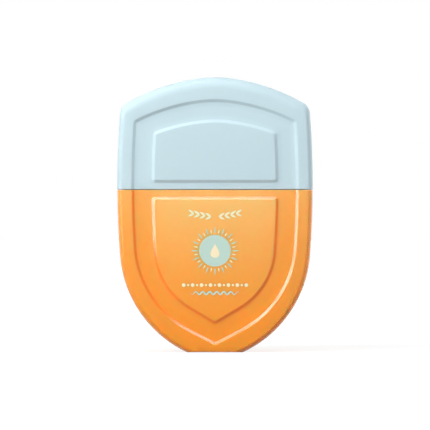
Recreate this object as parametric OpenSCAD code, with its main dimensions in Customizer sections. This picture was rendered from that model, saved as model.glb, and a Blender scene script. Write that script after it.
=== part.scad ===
// Shield-shaped sunscreen bottle with a pull-off cap.
// +Z is up, -Y is the front, and the origin is the middle of the foot. Millimetres.

/* [Bottle] */
// Width across the widest level
width = 64.2; // [60:0.2:74]
// Height from the foot to the apex of the cap
height = 90; // [86:0.5:102]
// Depth from the front face to the back face
depth = 22; // [21.5:0.5:27]
// Height of the seam between the body and the cap
seam_z = 53.1; // [50:0.1:57]
// Gap that shows at the seam
seam_gap = 0.2; // [0.16:0.01:0.3]
// Width of the foot, measured between the flanks
foot_w = 19.4; // [17:0.1:24]
// Wall of the blow-moulded body
body_wall = 1.2; // [0.9:0.05:1.5]

/* [Outline] */
// Height of the widest level
widest_z = 54; // [48:0.5:60]
// Radius of the slight bow of the sides
side_r = 310; // [250:5:420]
// Height at which the flanks run into the sides
flank_z = 31.7; // [28:0.1:38]
// Radius of each arc of the top arch
arch_r = 65.5; // [60:0.5:80]
// How far the centre of each arch arc lies past the middle
arch_offset = 3.55; // [2.8:0.05:4.5]
// Radius that blunts the apex of the arch
apex_r = 40; // [32:1:48]
// Corner radius of the shoulders
shoulder_r = 4.4; // [3.8:0.1:5.3]
// Corner radius at each end of the foot
foot_r = 0.7; // [0.5:0.1:1]

/* [Edges] */
// How deep the edge rounding reaches along Y
edge_depth = 2.8; // [2.2:0.1:3.4]
// How far the edge rounding reaches in from the sides
edge_side = 2.5; // [2:0.1:3]
// How far the edge rounding reaches down from the arch
edge_top = 3.6; // [3:0.1:4.3]
// How far the edge rounding reaches up from the foot
edge_foot = 0.9; // [0.7:0.05:1.2]
// How much the side wall swells at mid depth
side_crown = 0.25; // [0.15:0.05:0.35]

/* [Relief] */
// Depth of the recessed band
relief = 0.65; // [0.5:0.05:0.85]
// Width of each sloping step
step_w = 0.95; // [0.8:0.05:1.2]
// Width of the raised border at the sides
border_side = 5.3; // [4.6:0.1:6.4]
// Height of the raised border at the apex
border_top = 7.85; // [6.6:0.05:9.4]
// Height of the border's pointed tip above the foot
border_tip_z = 2.8; // [2.6:0.1:3.6]
// Slope of the border's edges at its tip, in degrees
border_slope = 27.5; // [23:0.5:30]
// Height at which the border's flanks run into its sides
border_flank_z = 34.1; // [30:0.1:39]
// Width of the recessed band at the sides
band_side = 6.6; // [5.8:0.1:7.6]
// Height of the recessed band under the arch
band_top = 6.7; // [5.7:0.1:7.7]
// Height of the panel's pointed tip above the foot
panel_tip_z = 9.7; // [8.9:0.1:11.8]
// Slope of the panel's edges at its tip, in degrees
panel_slope = 31; // [26:0.5:34]
// Height at which the panel's flanks run into its sides
panel_flank_z = 32.8; // [29:0.1:38]
// Distance from the seam to the edge of each panel
panel_gap = 2.75; // [2.4:0.05:3.3]
// Corner radius of the border and the panels
corner_r = 1; // [0.9:0.05:1.2]

/* [Neck] */
// Wall of the neck
neck_wall = 1.6; // [1.3:0.1:2]
// Height of the neck above the shoulder
neck_h = 10; // [9:0.1:12]
// How far the snap bead stands out of the neck
bead_reach = 0.5; // [0.4:0.05:0.6]
// Height of the snap bead
bead_h = 1.2; // [1:0.1:1.5]
// Depth of the hollow under the foot
foot_hollow = 0.6; // [0.5:0.05:0.75]
// Width of the rim round the hollow under the foot
foot_rim = 3; // [2.4:0.1:3.6]

/* [Collar] */
// Thickness of the collar's plate
collar_plate = 1.4; // [1.1:0.1:1.7]
// Height of the collar's skirt above its plate
collar_skirt = 5.5; // [4.5:0.1:6.4]
// Wall of the collar's skirt
collar_wall = 1.2; // [1:0.1:1.5]
// Corner radius of the collar's skirt
collar_r = 3; // [2.4:0.1:3.6]
// Height of the ribs on the collar's plate
collar_rib_h = 1; // [0.8:0.1:1.3]
// Thickness of the ribs on the collar's plate
collar_rib_t = 0.9; // [0.7:0.1:1.1]
// How far the snap bumps stand out of the skirt
bump_reach = 0.2; // [0.15:0.01:0.24]
// Length of each snap bump
bump_l = 12; // [10:0.5:15]
// Height of each snap bump
bump_h = 0.9; // [0.7:0.1:1.1]

/* [Nozzle] */
// Thickness of the nozzle's flange
flange_t = 1; // [0.8:0.1:1.2]
// Length of the plug inside the neck
plug_l = 6; // [5:0.1:7]
// Wall of the plug
plug_wall = 1.1; // [0.9:0.05:1.3]
// Width of the flange's ledge round the nozzle
flange_ledge = 2; // [1.5:0.1:2.2]
// Diameter of the nozzle's tip
nozzle_tip_d = 4; // [3.5:0.1:4.8]
// Height of the nozzle above the flange
nozzle_h = 6.5; // [5.5:0.1:7.6]
// Diameter of the orifice
orifice_d = 1.6; // [1.4:0.05:1.9]
// Length of the orifice's straight land
orifice_l = 2; // [1.8:0.1:2.4]
// How far the sealing rings bite into the neck's bore
ring_bite = 0.08; // [0.05:0.01:0.1]
// Height of each sealing ring
ring_h = 0.8; // [0.6:0.1:1]

/* [Cap] */
// Wall of the cap behind the recessed band
cap_wall = 1.4; // [1.2:0.05:1.6]
// Wall of the cap at its sides and arch
cap_side_wall = 1.7; // [1.5:0.05:2]
// Corner radius of the cap's hollow
cavity_r = 1.6; // [1.3:0.1:1.9]
// Thickness of the ribs inside the cap
cap_rib_t = 1; // [0.8:0.1:1.2]
// How far the ribs stand into the cap's hollow
cap_rib_reach = 1.5; // [1.2:0.1:1.8]
// How far the catches under the inner cap stand out of the wall
catch_reach = 0.35; // [0.25:0.05:0.45]
// Length of each catch
catch_l = 14; // [11:0.5:16]
// Height of each catch
catch_h = 0.8; // [0.6:0.1:0.9]

/* [Inner cap] */
// Thickness of the inner cap's plate
insert_plate = 1.2; // [1:0.1:1.5]
// Space between the collar's skirt and the inner cap's plate
insert_space = 1.2; // [1:0.1:1.5]
// Wall of the inner cap's socket
socket_wall = 0.9; // [0.75:0.05:1]
// Space between the nozzle's tip and the roof of the socket
socket_space = 1; // [0.8:0.1:1.2]
// Length of the seal pin inside the orifice
pin_l = 1.6; // [1.3:0.1:1.7]
// Length of the gussets beside the socket
gusset_l = 9; // [7:0.5:11]
// Height of the gussets beside the socket
gusset_h = 2.4; // [2:0.1:3]
// Thickness of the gussets
gusset_t = 0.9; // [0.7:0.1:1.1]

/* [Clearances] */
// Between the collar's skirt and the cap
skirt_clear = 0.3; // [0.28:0.01:0.36]
// Between the snap bead and the collar's skirt
bead_room = 0.4; // [0.3:0.05:0.5]
// Between the neck and what lies round it or over it
neck_clear = 0.1; // [0.08:0.01:0.12]
// Between the neck's bore and the plain part of the plug
plug_clear = 0.1; // [0.08:0.01:0.12]
// Between the snap bead and the socket
bead_clear = 0.4; // [0.33:0.01:0.5]
// Between the inner cap's plate and the cap
plate_clear = 0.1; // [0.08:0.01:0.12]
// Between the seal pin and the orifice
pin_clear = 0.08; // [0.06:0.01:0.1]
// Between the seal boss and the nozzle's tip
seal_clear = 0.15; // [0.1:0.01:0.2]

/* [Hidden] */
$fn = 72;

// Steps on each stretch of an outline, and across each rounded edge
flank_steps = 14;
side_steps = 3;
corner_steps = 5;
arch_steps = 8;
apex_steps = 2;
foot_steps = 2;
edge_steps = 4;
slab_steps = 6;
// How far a cut runs past the face that it opens
overrun = 1;

// Shares of a step's width and depth at the rings that draw its slope and its rounded edges
step_shares = [[-0.5, 0], [-0.36, 0.07], [0.44, 0.97], [0.5, 1]];
// Shares of the inner half length at which the ribs and the catches sit
collar_rib_shares = [0.42, 0.62, 0.82];
cap_rib_shares = [0.38, 0.76];
catch_share = 0.57;
bump_share = 0.5;
// Shares of the plug's length at which the sealing rings sit
ring_shares = [0.35, 0.75];
// Share of a wall or a bump that its chamfer or its ramp takes
chamfer_share = 0.3;

half_w = width / 2;
half_d = depth / 2;
body_top = seam_z - seam_gap / 2;
cap_bottom = seam_z + seam_gap / 2;
cavity_d = half_d - relief - cap_wall;
cavity_floor = body_wall + foot_hollow;
side_centre = [half_w - side_r, widest_z];

collar_top = body_top + collar_plate;
skirt_top = collar_top + collar_skirt;
insert_z = skirt_top + insert_space;
insert_top = insert_z + insert_plate;
neck_top = body_top + neck_h;
flange_top = neck_top + flange_t;
nozzle_top = flange_top + nozzle_h;
bead_r = cavity_d - skirt_clear - collar_wall - bead_room;
neck_r = bead_r - bead_reach;
bore_r = neck_r - neck_wall;
bead_z = collar_top + neck_clear;
socket_r = bead_r + bead_clear;
socket_roof = nozzle_top + socket_space;

// Half the width between the sides, moved in by d, at height z
function side_x(d, z) = side_centre[0] + sqrt(pow(side_r - d, 2) - pow(z - widest_z, 2));

// A shield outline is [side radius, flank centre, flank radius, angle where they meet,
// arch centre, arch radius, apex radius, corner radius, foot height, slope at the tip].
// The flank runs into the side at the join. It passes through the point at its foot, or
// ends in a straight edge of that slope, which starts at the tip.
function shield(d, join, foot, apex_z, r, slope = undef) =
    let (sr = side_r - d, a = asin((join - widest_z) / sr), u = [cos(a), sin(a)])
    let (j = side_centre + sr * u, v = j - foot, n = slope == undef ? undef : [-sin(slope), cos(slope)])
    let (fr = slope == undef ? v * v / (2 * (v * u)) : v * n / (1 + u * n))
    let (rise = apex_r + sqrt(pow(arch_r - apex_r, 2) - arch_offset * arch_offset))
    [sr, j - fr * u, fr, a, [-arch_offset, apex_z - rise], arch_r, apex_r, r, undef, slope];

body_shield = shield(0, flank_z, [foot_w / 2, 0], height, shoulder_r);
border_shield = shield(border_side, border_flank_z, [0, border_tip_z], height - border_top, corner_r,
    border_slope);
panel_shield = shield(border_side + band_side, panel_flank_z, [0, panel_tip_z],
    height - border_top - band_top, corner_r, panel_slope);

// The outline moved in by d all round and by a further dt at the arch, standing on foot
function inset(s, d, dt = 0, foot = undef) = [s[0] - d, s[1], s[2] - d, s[3], s[4] - [0, dt],
    s[5] - d, s[6] - d, max(s[7] - d, corner_r / 4), foot, s[9]];

function along(c, r, a) = c + r * [cos(a), sin(a)];
function arc(c, r, a0, a1, n, first = 0) = [for (i = [first:n]) along(c, r, a0 + (a1 - a0) * i / n)];
function bearing(v) = atan2(v[1], v[0]);
function side_angle(s, z) = asin((z - widest_z) / s[0]);

// Centre of the circle of radius r that touches the side and the arch from inside
function corner_centre(s) =
    let (v = s[4] - side_centre, gap = norm(v), u = v / gap, p = s[0] - s[7], q = s[5] - s[7])
    let (t = (gap * gap + p * p - q * q) / (2 * gap))
    side_centre + t * u + sqrt(p * p - t * t) * [-u[1], u[0]];

// Centre of the circle that blunts the apex
function apex_centre(s) = [0, s[4][1] + sqrt(pow(s[5] - s[6], 2) - arch_offset * arch_offset)];

// Right half of the lower flank, from the foot or the tip up to the side. The foot's
// corner sits on the foot, or on the bottom of a flank that is too round to reach it.
function foot_arcs(s) =
    let (c = s[1], r = s[2] - foot_r, z = max(s[8] + foot_r, c[1] - r))
    let (f = [c[0] + sqrt(r * r - pow(z - c[1], 2)), z])
    concat(arc(f, foot_r, -90, bearing(f - c), foot_steps),
        arc(c, s[2], bearing(f - c), s[3], flank_steps, 1));
function tip_arc(s) =
    let (a = s[9] - 90, p = along(s[1], s[2], a))
    concat([[0, p[1] - p[0] * tan(s[9])]], arc(s[1], s[2], a, s[3], flank_steps));
function lower_half(s) = s[8] == undef ? tip_arc(s) : foot_arcs(s);

// Right half of the side, shoulder and arch, from height z up to the apex
function upper_half(s, z) =
    let (cc = corner_centre(s), ct = apex_centre(s))
    let (a1 = bearing(cc - side_centre), a2 = bearing(cc - s[4]), a3 = bearing(ct - s[4]))
    concat(arc(side_centre, s[0], side_angle(s, z), a1, side_steps), arc(cc, s[7], a1, a2, corner_steps, 1),
        arc(s[4], s[5], a2, a3, arch_steps, 1), arc(ct, s[6], a3, 90, apex_steps, 1));

// A closed outline from its right half, whose points on the middle line stay single
function mirrored(half) = concat(half,
    [for (i = [len(half) - 1:-1:0]) if (half[i][0] > overrun / 1000) [-half[i][0], half[i][1]]]);

// The part of an outline below z, flat on top, and the part above z, flat below
function below(s, z) =
    mirrored(concat(lower_half(s), arc(side_centre, s[0], s[3], side_angle(s, z), side_steps, 1)));
function above(s, z) = mirrored(upper_half(s, z));

// Outlines of the panels: pointed and flat-topped on the body, arched and flat-footed on the cap
function body_panel(d) =
    let (s = inset(panel_shield, d), top = seam_z - panel_gap - d, r = s[7])
    let (c = [side_x(panel_inset(d) + r, top - r), top - r])
    mirrored(concat(lower_half(s), arc(c, r, 0, 90, corner_steps)));
function cap_panel(d) =
    let (s = inset(panel_shield, d), foot = seam_z + panel_gap + d, r = s[7])
    let (c = [side_x(panel_inset(d) + r, foot + r), foot + r])
    mirrored(concat(arc(c, r, -90, 0, corner_steps), upper_half(s, foot + r)));
function panel_inset(d) = border_side + band_side + d;

// A solid through rings of equal count, each [y, outline], from the front backwards
module loft(rings) {
    n = len(rings[0][1]);
    last = len(rings) - 1;
    points = [for (ring = rings) for (p = ring[1]) [p[0], ring[0], p[1]]];
    walls = [for (k = [0:last - 1]) for (i = [0:n - 1])
        let (a = k * n + i, b = k * n + (i + 1) % n)
        each [[a, b, b + n], [a, b + n, a + n]]];
    front = [for (i = [n - 1:-1:0]) i];
    back = [for (i = [0:n - 1]) last * n + i];
    polyhedron(points = points, faces = concat(walls, [front, back]));
}

module both_faces() {
    children();
    mirror([0, 1, 0]) children();
}

module both_sides() {
    children();
    mirror([1, 0, 0]) children();
}

// A shell is [half depth, rounding along Y, rounding in from the sides, rounding down
// from the arch, inset, foot height, rise of the foot across the rounding]
outer_shell = [half_d, edge_depth, edge_side, edge_top, 0, 0, edge_foot];
inner_shell = [half_d - body_wall, edge_depth - body_wall, edge_side - body_wall,
    edge_top - body_wall, body_wall, cavity_floor, 0];
cavity_shell = [cavity_d, cavity_r, cavity_r, cavity_r, cap_side_wall, 0, 0];

function shell_ring(shell, share, crown) = inset(body_shield, shell[4] + crown + shell[2] * share,
    (shell[3] - shell[2]) * share, shell[5] + shell[6] * share);

// The shield with rounded edges and swelling sides; cut gives a ring's outline
module shield_solid(shell, cut) {
    half = [for (i = [edge_steps:-1:0])
        let (a = 90 * i / edge_steps)
        [shell[1] * (1 - sin(a)) - shell[0], cut(shell_ring(shell, 1 - cos(a), side_crown))]];
    back = [for (i = [edge_steps:-1:0]) [-half[i][0], half[i][1]]];
    loft(concat(half, [[0, cut(shell_ring(shell, 0, 0))]], back));
}

// Rings across a step of the relief behind a wall, as [y, inset]. sense is 1 where
// the middle is sunk and -1 where it is raised.
function step_rings(sense, wall) = [for (q = step_shares)
    [q[1] * relief + wall - half_d, sense * (q[0] * step_w - wall * tan(45 / 2))]];
function step_loft(rings, edge, ahead, behind) =
    let (last = rings[len(rings) - 1])
    concat([[rings[0][0] - ahead, edge(rings[0][1])]], [for (r = rings) [r[0], edge(r[1])]],
        behind == 0 ? [] : [[last[0] + behind, edge(last[1])]]);

// The recessed band between a border and a panel, or the ridge that it makes behind a wall
module band(border, panel, wall = 0) {
    both_faces() difference() {
        loft(step_loft(step_rings(1, wall), border, overrun, 0));
        loft(step_loft(step_rings(-1, wall), panel, 2 * overrun, overrun));
    }
}

// A flat slab with rounded corners, standing on z
module slab(hx, hy, r, z, h) {
    right = concat(arc([hx - r, r - hy], r, -90, 0, slab_steps), arc([hx - r, hy - r], r, 0, 90, slab_steps));
    left = [for (i = [len(right) - 1:-1:0]) [-right[i][0], right[i][1]]];
    translate([0, 0, z]) linear_extrude(h) polygon(concat(right, left));
}

// A bar along X whose section is drawn as [distance from the wall, height]
module bar(x, y, z, l, section) {
    translate([x - l / 2, y, z]) rotate([90, 0, 90]) linear_extrude(l) polygon(section);
}

neck_chamfer = neck_wall * chamfer_share;
neck_profile = [
    [0, body_top - body_wall / 2],
    [neck_r, body_top - body_wall / 2],
    [neck_r, bead_z],
    [bead_r, bead_z + bead_h * chamfer_share],
    [bead_r, bead_z + bead_h / 2],
    [neck_r, bead_z + bead_h],
    [neck_r, neck_top - neck_chamfer],
    [neck_r - neck_chamfer, neck_top],
    [0, neck_top],
];

module bottle_body() {
    foot_hx = foot_w / 2 - foot_rim;
    foot_hy = half_d - edge_depth - foot_rim;
    outside = function (s) below(s, body_top);
    inside = function (s) below(s, body_top - body_wall);
    border = function (d) below(inset(border_shield, d), body_top + overrun);
    panel = function (d) body_panel(d);
    color("#FAA64A") difference() {
        union() {
            difference() {
                shield_solid(outer_shell, outside);
                band(border, panel);
            }
            rotate_extrude() polygon(neck_profile);
        }
        difference() {
            shield_solid(inner_shell, inside);
            band(border, panel, body_wall);
        }
        translate([0, 0, body_top - body_wall - overrun])
            cylinder(r = bore_r, h = neck_h + body_wall + 2 * overrun);
        slab(foot_hx, foot_hy, foot_r, -overrun, foot_hollow + overrun);
    }
}

plug_r = bore_r - plug_clear;
plug_z = neck_top - plug_l;
plug_lead = plug_wall * chamfer_share;
flange_chamfer = flange_t * chamfer_share;
orifice_r = orifice_d / 2;
ring_profiles = [for (q = ring_shares) let (z = plug_z + plug_l * q) each [
    [plug_r, z - ring_h / 2],
    [bore_r + ring_bite, z - ring_h * chamfer_share / 2],
    [bore_r + ring_bite, z + ring_h * chamfer_share / 2],
    [plug_r, z + ring_h / 2],
]];
nozzle_profile = concat([
    [plug_r - plug_wall, plug_z],
    [plug_r - plug_lead, plug_z],
    [plug_r, plug_z + plug_lead],
], ring_profiles, [
    [plug_r, neck_top],
    [neck_r, neck_top],
    [neck_r, flange_top - flange_chamfer],
    [neck_r - flange_chamfer, flange_top],
    [neck_r - flange_ledge, flange_top],
    [nozzle_tip_d / 2, nozzle_top - flange_chamfer],
    [nozzle_tip_d / 2 - flange_chamfer, nozzle_top],
    [orifice_r, nozzle_top],
    [orifice_r, nozzle_top - orifice_l],
    [plug_r - plug_wall, neck_top],
]);

module nozzle_plug() {
    color("#F6F5F0") rotate_extrude() polygon(nozzle_profile);
}

skirt_hx = side_x(cap_side_wall + side_crown, skirt_top) - skirt_clear;
skirt_hy = cavity_d - skirt_clear;
bump_section = [
    [-collar_wall / 2, -bump_h / 2],
    [0, -bump_h / 2],
    [bump_reach, -bump_h * chamfer_share / 2],
    [bump_reach, bump_h * chamfer_share / 2],
    [0, bump_h / 2],
    [-collar_wall / 2, bump_h / 2],
];

module snap_collar() {
    inner_hx = skirt_hx - collar_wall;
    inner_hy = skirt_hy - collar_wall;
    color("#F2F2EC") {
        difference() {
            slab(skirt_hx, skirt_hy, collar_r, body_top, collar_plate + collar_skirt);
            slab(inner_hx, inner_hy, collar_r - collar_wall, collar_top, collar_skirt + overrun);
            translate([0, 0, body_top - overrun])
                cylinder(r = neck_r + neck_clear, h = collar_plate + 2 * overrun);
        }
        both_sides() for (q = collar_rib_shares)
            translate([inner_hx * q - collar_rib_t / 2, -inner_hy - collar_wall / 2,
                collar_top - collar_plate / 2])
                cube([collar_rib_t, 2 * inner_hy + collar_wall, collar_rib_h + collar_plate / 2]);
        both_sides() both_faces()
            bar(skirt_hx * bump_share, skirt_hy, skirt_top - collar_skirt / 2, bump_l, bump_section);
    }
}

// The cap's hollow, with its core behind each panel, less the ribs and catches that stand in it
module cap_hollow() {
    cavity_hx = side_x(cap_side_wall + side_crown, insert_top);
    mouth = function (s) above(s, cap_bottom - overrun);
    core = above(inset(panel_shield, cap_wall), insert_top);
    catch_section = [
        [overrun, -catch_h],
        [0, -catch_h],
        [-catch_reach, -catch_h * chamfer_share],
        [-catch_reach, 0],
        [overrun, 0],
    ];
    difference() {
        union() {
            shield_solid(cavity_shell, mouth);
            both_faces() loft([[cap_wall - half_d, core], [overrun - cavity_d, core]]);
        }
        both_sides() both_faces() {
            for (q = cap_rib_shares)
                translate([cavity_hx * q - cap_rib_t / 2, -half_d, insert_top])
                    cube([cap_rib_t, half_d - cavity_d + cap_rib_reach, height - insert_top]);
            bar(cavity_hx * catch_share, cavity_d, insert_z, catch_l, catch_section);
        }
    }
}

module cap_shell() {
    outside = function (s) above(s, cap_bottom);
    border = function (d) above(inset(border_shield, d), cap_bottom - overrun);
    panel = function (d) cap_panel(d);
    color("#C5DEE7") difference() {
        shield_solid(outer_shell, outside);
        band(border, panel);
        cap_hollow();
    }
}

plate_hx = side_x(cap_side_wall + side_crown, insert_top) - plate_clear;
plate_hy = cavity_d - plate_clear;
pin_r = orifice_r - pin_clear;
pin_lead = pin_r * chamfer_share;
pin_z = nozzle_top - pin_l;
boss_z = nozzle_top + seal_clear;
boss_r = nozzle_tip_d / 2;
roof_r = boss_r + socket_space;
dome_z = flange_top + socket_wall;
socket_profile = [
    [0, pin_z],
    [pin_r - pin_lead, pin_z],
    [pin_r, pin_z + pin_lead],
    [pin_r, boss_z],
    [boss_r, boss_z],
    [boss_r, socket_roof],
    [roof_r, socket_roof],
    [socket_r, dome_z],
    [socket_r, insert_z],
    [socket_r + socket_wall, insert_z],
    [socket_r + socket_wall, dome_z + socket_wall * chamfer_share],
    [roof_r + socket_wall, socket_roof + socket_wall * chamfer_share],
    [roof_r, socket_roof + socket_wall],
    [0, socket_roof + socket_wall],
];

module inner_cap() {
    gusset_x = socket_r + socket_wall / 2;
    gusset = [
        [gusset_x, insert_top - insert_plate / 2],
        [gusset_x + gusset_l, insert_top - insert_plate / 2],
        [gusset_x + gusset_l, insert_top],
        [gusset_x, insert_top + gusset_h],
    ];
    color("#EEF1F0") {
        difference() {
            slab(plate_hx, plate_hy, cavity_r, insert_z, insert_plate);
            translate([0, 0, insert_z - overrun]) cylinder(r = gusset_x, h = insert_plate + 2 * overrun);
        }
        rotate_extrude() polygon(socket_profile);
        both_sides() rotate([90, 0, 0]) linear_extrude(gusset_t, center = true) polygon(gusset);
    }
}

bottle_body();
nozzle_plug();
snap_collar();
cap_shell();
inner_cap();
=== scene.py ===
"""A shield-shaped sunscreen bottle: moulded skins, printed ornament, materials and a plain stage."""

import math
from collections import namedtuple

import bmesh
import bpy
import numpy as np
from bpy.props import FloatProperty, FloatVectorProperty, IntProperty, PointerProperty
from bpy.types import Operator, Panel, PropertyGroup
from mathutils import Matrix, Vector


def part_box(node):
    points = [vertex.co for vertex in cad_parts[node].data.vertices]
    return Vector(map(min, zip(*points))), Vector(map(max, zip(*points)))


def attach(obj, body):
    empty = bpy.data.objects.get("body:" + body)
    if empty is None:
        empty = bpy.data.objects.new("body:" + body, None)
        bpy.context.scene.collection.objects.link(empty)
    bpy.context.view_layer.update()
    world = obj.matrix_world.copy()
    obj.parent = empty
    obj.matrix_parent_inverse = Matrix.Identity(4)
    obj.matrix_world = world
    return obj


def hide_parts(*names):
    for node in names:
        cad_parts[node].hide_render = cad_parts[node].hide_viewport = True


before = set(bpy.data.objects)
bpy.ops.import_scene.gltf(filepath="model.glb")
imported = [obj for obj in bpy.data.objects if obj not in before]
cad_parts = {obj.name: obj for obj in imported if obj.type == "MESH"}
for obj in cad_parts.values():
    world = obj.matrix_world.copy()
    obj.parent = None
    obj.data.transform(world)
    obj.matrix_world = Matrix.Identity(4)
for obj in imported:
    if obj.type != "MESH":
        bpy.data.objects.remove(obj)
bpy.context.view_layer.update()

bl_info = {
    "name": "Shield Sunscreen Bottle",
    "version": (1, 0, 0),
    "blender": (4, 5, 0),
    "location": "View3D > Sidebar > Bottle",
    "description": "Builds a shield-shaped sunscreen bottle with a pull-off cap round its frame",
    "category": "Add Mesh",
}

# The body stands on Z = 0, its front faces -Y, and X runs across it. Sizes are metres, but the defaults of
# the length properties are written in millimetres.
MM = 0.001
cap_low, cap_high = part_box("cap_shell")
plug_low, plug_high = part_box("nozzle_plug")
collar_low, collar_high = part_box("snap_collar")
inner_low, inner_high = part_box("inner_cap")

# Steps in which the stretches of the outlines are drawn, and the small rounded edges, rings and bumps
FOOT_STEPS = 18
TIP_STEPS = 8
FLANK_STEPS = 44
SIDE_STEPS = 8
CORNER_STEPS = 8
SHOULDER_STEPS = 14
ARCH_STEPS = 36
APEX_STEPS = 4
PANEL_EDGE_STEPS = 12
SWELL_STEPS = 16
EDGE_STEPS = 12
RELIEF_STEPS = 5
SEAM_STEPS = 5
ROUND_STEPS = 96
SLAB_STEPS = 10
STROKE_STEPS = 24
FILLET_STEPS = 5
LIP_STEPS = 4
BORE_LIP_STEPS = 3
BEAD_STEPS = 10
RING_STEPS = 6
BUMP_STEPS = 8
# Width of the flat strips that keep a face's shading flat up to its edge
SUPPORT = 0.15 * MM
# Points closer than this are one point
WELD = 0.001 * MM
# Edges that turn more than this stay sharp, or are rounded by a bevel
CREASE = math.radians(38)
# Share of a step's slope, in from both ends, at which extra points keep its shading straight
STRAIGHT_HELD = 0.1
# Half the width of the mould's parting line
PARTING_REACH = 0.15 * MM
# Inclination of the sunk walls behind the relief, which keeps them one wall thick
MITRE = math.tan(math.radians(22.5))
# Stretch of a ray or a leaf that is drawn, whose ends would otherwise have no width
LEAF_DRAWN = (0.02, 0.98)
# Shares of its length at which a ray and a leaf are fullest, and at which the wave's ends stop thinning
RAY_FULLEST = 0.35
LEAF_FULLEST = 0.4
WAVE_TAPER = 0.2
# Width of the wave's thin ends as a share of its full width
THINNEST = 0.1
# How strongly the drop narrows towards its point
DROP_TAPER = 1.6
# Corner roundings in the closure, as shares of the walls that they belong to
CORNER_SHARE = 0.3
# How much wider than its tip the nozzle's cone ends, and how far below it, as shares of the corner rounding
CONE_WIDER = 0.2
CONE_BELOW = 1.6
# Places of the sealing rings up the plug, the ribs out along the collar and the catches along the cap
RING_SHARES = (0.35, 0.75)
RIB_SHARES = (0.42, 0.62, 0.82)
CATCH_SHARE = 0.57
# Width of the seal pin's flat end, as a share of the pin's own
PIN_END = 0.7
# Angles of the strips on their arc, from the right upwards, and each one's share of the power
STRIP_SHARES = ((62, 0.14), (88, 0.11), (111, 0.16), (134, 0.22), (157, 0.2), (180, 0.16))
# Place and diameter of each lamp behind the bottle, by the setting that holds its power
BACK_LAMPS = {
    "back_right": ((0.75, 0.35, 0.2), 0.5),
    "back_left": ((-0.75, 0.35, 0.2), 0.5),
    "rear": ((0, 1.1, 0.1), 0.6),
}
UP = (0, 0, 1)
# Width of the camera's film in millimetres, and the nearest and farthest that it sees
FILM_WIDTH = 36
CAMERA_REACH = (0.01, 20)
# Numbers of a colour mix's sockets: both colours and the result
MIX_A, MIX_B, MIX_RESULT = 6, 7, 2
# Range of the noise over which the gloss changes, and the size of its patches
GLOSS_SPREAD = (0.35, 0.65)
GLOSS_PATCH = 6 * MM
# How far the roughness of moulded polypropylene changes both ways
PP_GLOSS_CHANGE = 0.015
# How far light spreads inside the plastics, before each one's own reach for red, green and blue
SCATTER_LENGTH = 0.6 * MM
# How late the painted light from above turns the orange pale on its way up
PAINTED_LIGHT_CURVE = 1.9
# Shares of the relief, both ways from its middle, where a step's painted shade is full and where it ends
STEP_SHADE_FULL = 0.15
STEP_SHADE_ENDS = 0.45
# Distance from the middle at which painted shade starts to turn the orange deeper towards the sides
RIM_SHADE_START = 12 * MM


def linear(hex_colour):
    """An sRGB colour such as #F9A64A as linear red, green and blue."""
    channels = [int(hex_colour[i : i + 2], 16) / 255 for i in (1, 3, 5)]
    return tuple(c / 12.92 if c <= 0.04045 else ((c + 0.055) / 1.055) ** 2.4 for c in channels)


def length(name, mm, description):
    """A size, as a property, with its default given in millimetres."""
    return FloatProperty(name=name, description=description, default=mm * MM, unit="LENGTH", precision=5)


def angle(name, degrees, description):
    """An angle, as a property."""
    return FloatProperty(name=name, description=description, default=math.radians(degrees), subtype="ANGLE")


def share(name, default, description, top=1.0):
    """A plain number from nought up, as a property."""
    return FloatProperty(name=name, description=description, default=default, min=0, max=top)


def colour(name, hex_colour, description):
    """A surface colour, as a property."""
    return FloatVectorProperty(
        name=name,
        description=description,
        default=linear(hex_colour),
        subtype="COLOR",
        size=3,
        min=0,
        max=1,
    )


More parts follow.
